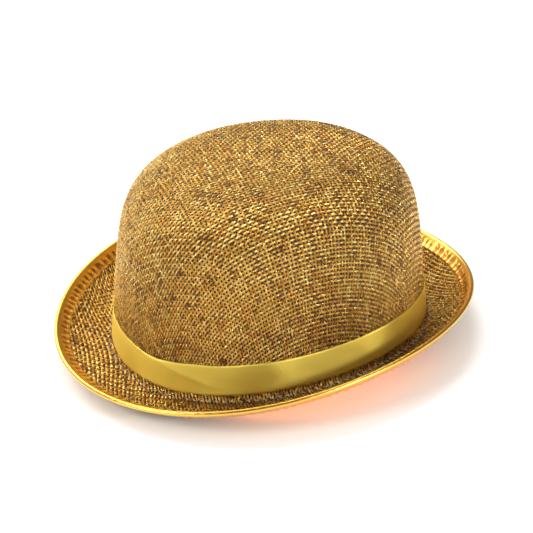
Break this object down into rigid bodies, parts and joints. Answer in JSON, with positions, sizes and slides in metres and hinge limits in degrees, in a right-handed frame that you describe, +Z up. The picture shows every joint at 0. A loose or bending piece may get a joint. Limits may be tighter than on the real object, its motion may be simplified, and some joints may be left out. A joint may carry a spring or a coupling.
{
  "type": "bowler hat",
  "caption": "Round-crowned costume hat of open metallic mesh cloth over a stiff backing, with satin ribbon, wired foil-bound curled brim, and a sewn sweatband with a swinging blank label.",
  "frame": {"origin": "on the table that the hat stands on, under the middle of the hat's outline seen from above", "axes": "+Z up through the crown, +Y from the front of the hat to its back, +X to the wearer's left"},
  "size_m": [0.2352, 0.2732, 0.1194],
  "materials": {
    "gold_mesh": "open metallic weave",
    "backing": "matte non-woven",
    "facing_cloth": "fine metallic weave",
    "lining_cloth": "matte non-woven",
    "sweatband_cloth": "ribbed grosgrain",
    "satin_ribbon": "satin",
    "gold_foil": "metallic foil, puckered",
    "gold_thread": "satin thread",
    "pale_thread": "matte thread",
    "spring_wire": "drawn wire",
    "joiner_steel": "crimped sleeve",
    "label_tape": "woven tape, blank"
  },
  "bodies": {
    "hat": {"crown_mesh": "gold_mesh", "brim_mesh": "gold_mesh", "stiffener_shell": "backing", "brim_facing": "facing_cloth", "crown_lining": "lining_cloth", "sweatband": "sweatband_cloth", "sweatband_stitching": "pale_thread", "hat_band": "satin_ribbon", "hat_band_tacks": "gold_thread", "brim_binding": "gold_foil", "binding_stitching": "gold_thread", "brim_wire": "spring_wire", "wire_joiner": "joiner_steel", "label_tab": "label_tape", "label_stitches": "pale_thread"},
    "label_flap": {"size_label": "label_tape"}
  },
  "joints": [
    {"name": "label_hinge", "type": "hinge", "parent": "hat", "child": "label_flap", "pos_m": [0, 0.09797, 0.0284], "axis": [-1, 0, 0], "range_deg": [0, 150]}
  ]
}
